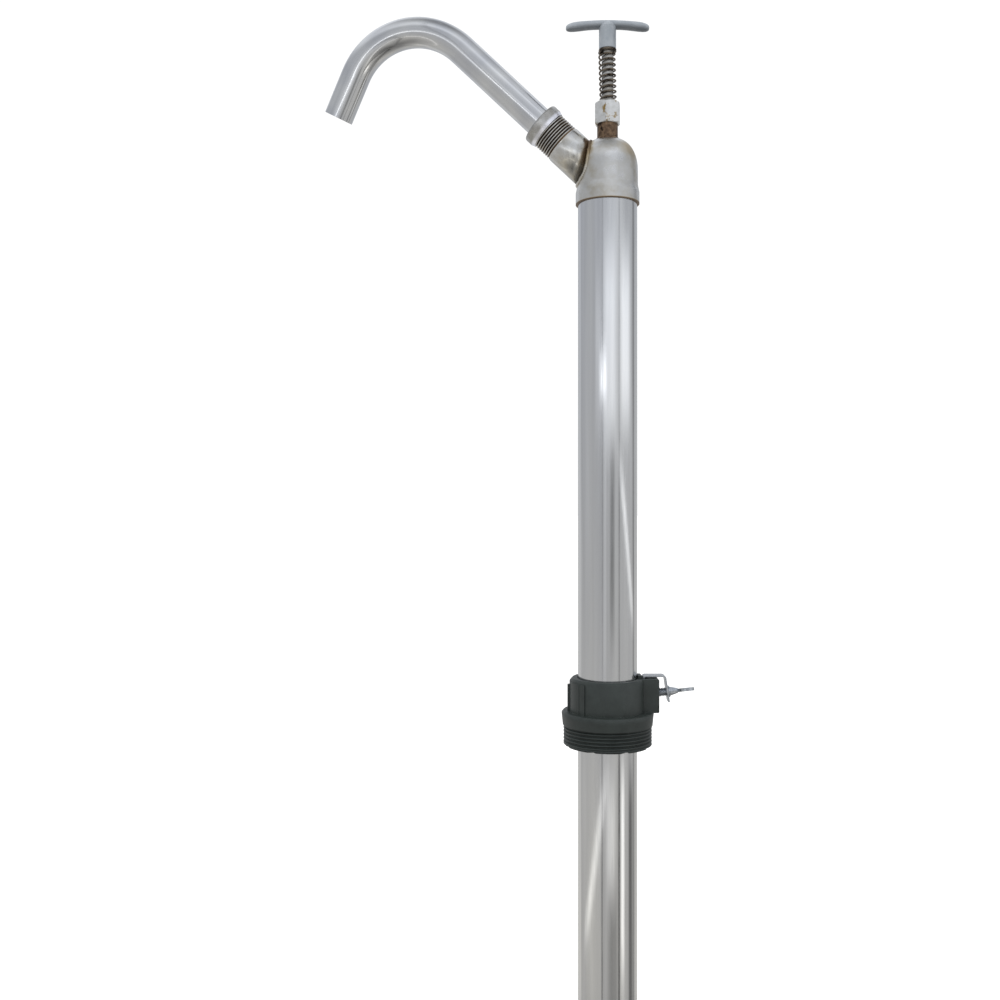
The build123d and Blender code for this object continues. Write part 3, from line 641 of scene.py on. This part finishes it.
# %% The bead round the gland boss
boss_radius = 7.0 * MM
bead_lift = 0.25 * MM
share = boss_radius / dome_radius
boss_level = dome_base + dome_rise * (1 - share ** dome_power) ** (1 / dome_power) + bead_lift
bead_radius = boss_radius + 0.1 * MM
boss_steps = 200
boss_path = [
    Vector((bead_radius * math.cos(TURN * k / boss_steps), bead_radius * math.sin(TURN * k / boss_steps), boss_level))
    for k in range(boss_steps)
]
boss_bead = weld_bead("boss_weld_bead", boss_path, 0.75 * MM, 1.4, 7.0)
dress(boss_bead, metals["gland_boss_steel"], "weld_steel", "barrel")

# %% [markdown]
# ## The cushion spring
# Under the handle a loose spring catches the blow when the handle is pushed home. It is cold-wound wire: open coils
# with a closed coil at each end, and it leans a little on its rod. It could be a curve with a round bevel; here it is
# a skin of rings round the wire, in a mesh of its own.

# %% Coil the spring
spring_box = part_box("cushion_spring")
spring_low, spring_high = spring_box[0].z, spring_box[1].z
spring_length = spring_high - spring_low
wire = 0.6 * MM  # the wire's radius
coil = 6.0 * MM - wire
turns = 9.5
closed_turns = 0.3  # at each end, lying flat


def coil_height(turn):
    """Height of the wire's centre after so many turns; the closed part of a turn at each end lies flat."""
    share = min(1.0, max(0.0, (turn - closed_turns) / (turns - 2 * closed_turns)))
    return spring_low + wire + share * (spring_length - 2 * wire)


def coil_centre(turn):
    """The wire's centre: a right-hand coil that leans from +X at its foot to -X at its top."""
    start_angle = 0.6
    angle = TURN * turn + start_angle
    height = coil_height(turn)
    share = (height - spring_low) / spring_length
    lean = (0.45 - 0.9 * share) * MM
    reach = coil - 0.1 * MM
    return Vector((lean + reach * math.cos(angle), reach * math.sin(angle), height))


coil_steps = int(turns * 48)
nudge = 0.005
spring_rings = []
for k in range(coil_steps + 1):
    turn = turns * k / coil_steps
    along = (coil_centre(turn + nudge) - coil_centre(turn - nudge)).normalized()
    spring_rings.append(circle_at(coil_centre(turn), along, Vector((0, 0, 1)), wire, 12))
spring = skin_rings("cushion_coil", spring_rings, caps=True)
dress(spring, metals["spring_wire"], "spring_steel", "barrel", "cushion_spring")
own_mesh(spring)

# %% [markdown]
# ## Floor
# The pump stands in a plain, pale studio. The floor is one large flat sheet of paper, faintly clouded in tone, and
# bright enough to run into the backdrop without a line. It is hidden from reflections, because the light tent of the
# next step has a floor of its own.

# %% Pale floor
floor_level = cad_box[0].z - 0.5 * MM
floor_half = 30
floor_shape = bmesh.new()
bmesh.ops.create_grid(floor_shape, x_segments=40, y_segments=40, size=floor_half)
for vertex in floor_shape.verts:
    vertex.co.z = floor_level
floor_mesh = bpy.data.meshes.new("floor")
floor_shape.to_mesh(floor_mesh)
floor_shape.free()
floor = bpy.data.objects.new("floor", floor_mesh)
bpy.context.scene.collection.objects.link(floor)
floor_paper, tree, shader, place = finish("floor_paper", Roughness=0.8, Emission_Strength=0.55)
paper_clouds = put(tree, "TexNoise", {"Scale": 3.0, "Detail": 3.0}, Vector=place)
paper_tone = put(tree, "ValToRGB", {"stops": [(0.3, "#fbfbfa"), (0.7, "#ffffff")]}, Fac=paper_clouds)
tree.links.new(paper_tone.outputs["Color"], shader.inputs["Base Color"])
floor.data.materials.append(floor_paper)
floor.visible_diffuse = False
floor.visible_glossy = False
print("floor at z =", round(floor_level, 4), "m")

# %% [markdown]
# ## What the steel sees
# Polished steel has almost no look of its own: it needs surroundings. A studio builds a tent of white cloth with
# darker gaps round such an object. Here the tent is a wide upright tube that only reflections can see. Its
# cloth is a mid grey glow, a few narrow dark gaps draw the fine lines down the barrel, and some brighter panels
# make the patches of light between them. Each panel is a mask in angle and height, added in one loop. The
# roof and the floor of the tent are dimmer, so that undersides and tops don't turn white.

# %% The light tent
tent_radius, tent_hole = 0.9, 0.03
tent_low, tent_middle, tent_eaves, tent_top = floor_level + 2 * MM, 0.3, 1.6, 1.65
tent_rows = [(tent_hole, tent_low), (tent_radius, tent_low), (tent_radius, tent_middle), (tent_radius, tent_eaves),
             (tent_hole, tent_top)]
tent = skin_rings("light_tent", place_rings(tent_rows, Vector(), upright))
tent_cloth = bpy.data.materials.new("tent_cloth")
tent_cloth.use_nodes = True
tree = tent_cloth.node_tree
tree.nodes.remove(tree.nodes["Principled BSDF"])
place = put(tree, "TexCoord").outputs["Object"]
apart = put(tree, "SeparateXYZ", None, Vector=place)
angle = put(tree, "Math", {"operation": "ARCTAN2"}, _0=apart.outputs["Y"], _1=apart.outputs["X"])
ripples = put(tree, "TexNoise", {"Scale": 3.0, "Detail": 2.0}, Vector=place)
glow = put(tree, "MapRange", {"From Min": 0.3, "From Max": 0.7, "To Min": 0.58, "To Max": 0.68}, Value=ripples)


def panel(glow, azimuth, width, low, high, strength, soft=0.06, lean=0.0):
    """Add strength to the glow inside a soft-edged panel. Degrees and metres; lean is in degrees a metre."""
    middle = put(tree, "Math", {"operation": "MULTIPLY_ADD", 1: -math.radians(lean), 2: -math.radians(azimuth)},
                 _0=apart.outputs["Z"])
    offset = put(tree, "Math", {"operation": "ADD"}, _0=angle, _1=middle)
    wrapped = put(tree, "Math", {"operation": "WRAP", 1: math.pi, 2: -math.pi}, _0=offset)
    away = put(tree, "Math", {"operation": "ABSOLUTE"}, _0=wrapped)
    half = math.radians(width) / 2
    side = put(tree, "MapRange", {"interpolation_type": "SMOOTHSTEP", "From Min": half * 0.3, "From Max": half * 1.3,
                                  "To Min": strength, "To Max": 0.0}, Value=away)
    rise = put(tree, "MapRange", {"interpolation_type": "SMOOTHSTEP", "From Min": low - soft, "From Max": low + soft},
               Value=apart.outputs["Z"])
    fall = put(tree, "MapRange", {"interpolation_type": "SMOOTHSTEP", "From Min": high - soft,
                                  "From Max": high + soft, "To Min": 1.0, "To Max": 0.0}, Value=apart.outputs["Z"])
    window = put(tree, "Math", {"operation": "MULTIPLY"}, _0=rise, _1=fall)
    return put(tree, "Math", {"operation": "MULTIPLY_ADD"}, _0=side, _1=window, _2=glow)


panels = [
    # azimuth, width, low, high, strength, softness, lean
    # narrow gaps from floor to roof
    (245, 4, -1.0, 2.0, -0.22, 0.06, 0),
    (310, 5, -1.0, 2.0, -0.28, 0.06, 0),
    (22, 15, -1.0, 2.0, -0.30, 0.06, 0),
    (128, 20, -1.0, 2.0, 0.16, 0.06, 0),
    # the bright band at the height of the upper barrel, with a thin lamp in it
    (275, 62, 0.24, 0.50, 0.68, 0.07, 0),
    (337, 56, 0.26, 0.50, 0.80, 0.07, 0),
    (228, 26, 0.26, 0.46, 0.24, 0.07, 0),
    (247, 30, 0.30, 0.35, 1.50, 0.02, 0),
    (285, 90, 0.45, 1.4, 0.18, 0.08, 0),
    # half way down: one dark hanging, and one small lamp on the right
    (283, 20, -0.05, 0.24, -0.32, 0.07, 0),
    (255, 12, -0.12, 0.22, 0.16, 0.07, 0),
    (367, 18, -0.02, 0.19, 0.80, 0.05, -270),
    # low down: two leaning lamps with a dark gap between them
    (243, 5, -1.0, -0.20, -0.26, 0.06, 0),
    (309, 8, -1.0, -0.22, -0.30, 0.06, 0),
    (354, 26, -0.49, -0.27, 0.72, 0.04, 362),
    (277, 40, -0.42, -0.27, 0.42, 0.05, 0),
    (325, 17, -0.54, -0.26, 0.95, 0.05, 0),
    (285, 46, -0.66, -0.43, -0.26, 0.05, 0),
    (4, 24, -0.70, -0.26, -0.42, 0.06, 0),
    # a bright ceiling
    (0, 720, 1.1, 3.0, 0.34, 0.2, 0),
]
for azimuth, width, low, high, strength, soft, lean in panels:
    glow = panel(glow, azimuth, width, low, high, strength, soft, lean)
# the roof and the floor get dimmer towards their middle
flat = put(tree, "VectorMath", {"operation": "MULTIPLY", 1: (1, 1, 0)}, _0=place)
from_middle = put(tree, "VectorMath", {"operation": "LENGTH"}, _0=flat).outputs["Value"]
wall = put(tree, "MapRange", {"From Min": 0.2, "From Max": 0.88, "To Min": 0.42, "To Max": 1.0}, Value=from_middle)
glow = put(tree, "Math", {"operation": "MULTIPLY"}, _0=glow, _1=wall)
tint = put(tree, "MapRange", {"From Min": -0.5, "From Max": 0.6}, Value=apart.outputs["Z"])
tone = put(tree, "ValToRGB", {"stops": [(0.0, "#fffdf9"), (1.0, "#f3f7ff")]}, Fac=tint)
cloth = put(tree, "Emission", None, Color=tone.outputs["Color"], Strength=glow)
output = tree.nodes["Material Output"]
tree.links.new(cloth.outputs[0], output.inputs["Surface"])
tent.data.materials.append(tent_cloth)
tent.visible_camera = False
tent.visible_diffuse = False
tent.visible_transmission = False
tent.visible_volume_scatter = False
tent.visible_shadow = False
print("tent with", len(panels), "panels")

# %% [markdown]
# ## Light
# A white world lights the pump evenly, and less from below, as a studio with pale walls does. Two large soft lamps,
# one high on the left and one on the right, give the plastic and the enamel their gentle shading. The steel doesn't
# see the lamps, because they would show in it as hard squares.

# %% World and lamps
world = bpy.data.worlds.new("studio")
world.use_nodes = True
bpy.context.scene.world = world
world_tree = world.node_tree
world_back = world_tree.nodes["Background"]
world_back.inputs["Color"].default_value = linear("#ffffff")
lit = put(world_tree, "LightPath")
heading = put(world_tree, "SeparateXYZ", None, Vector=put(world_tree, "TexCoord").outputs["Generated"])
from_above = put(world_tree, "MapRange", {"From Min": -0.5, "From Max": 0.5, "To Min": 0.22, "To Max": 0.78},
                 Value=heading.outputs["Z"])
# what the camera sees directly is a little over white, so that the backdrop has no tone
backdrop = 1.05
dimmed = put(world_tree, "Mix", {"data_type": "FLOAT", 3: backdrop}, _0=lit.outputs["Is Camera Ray"], _2=from_above)
world_tree.links.new(dimmed.outputs[0], world_back.inputs["Strength"])


def soft_lamp(name, place, target, size, power):
    """A square area lamp at place, turned towards target."""
    lamp = bpy.data.lights.new(name, "AREA")
    lamp.size = size
    lamp.energy = power
    holder = bpy.data.objects.new(name, lamp)
    holder.location = place
    holder.rotation_euler = (Vector(target) - Vector(place)).to_track_quat("-Z", "Y").to_euler()
    holder.visible_glossy = False
    bpy.context.scene.collection.objects.link(holder)
    return holder


upper_barrel = (0, 0, 0.2)
soft_lamp("lamp_left", (-1.1, -1.3, 1.5), upper_barrel, size=1.0, power=26)
soft_lamp("lamp_right", (1.4, -0.9, 0.9), upper_barrel, size=0.9, power=10)
bpy.context.scene.view_settings.view_transform = "Standard"

# %% [markdown]
# ## Camera
# The camera stands level, in front of the pump and a little to the left of its barrel, at about the middle of the
# part that it shows. It is near enough to see the handle from below and the flange from above at once, and the foot
# of the barrel runs out of the frame.

# %% Camera
lens = bpy.data.cameras.new("camera")
lens.lens = 39.6
lens.sensor_width = 36
lens.shift_y = -0.01
lens.clip_start = 0.01
lens.clip_end = 100
camera = bpy.data.objects.new("camera", lens)
camera.location = (-72.8 * MM, -745 * MM, 158.4 * MM)
camera.rotation_euler = (math.radians(90), 0, 0)
bpy.context.scene.collection.objects.link(camera)
bpy.context.scene.camera = camera
print("camera at", [round(value, 3) for value in camera.location])

# %% [markdown]
# ## Finish
# The last cell prints the CAD model's box and hands the scene over.

# %% Hand over
print("CAD box", [round(v, 4) for corner in cad_box for v in corner])
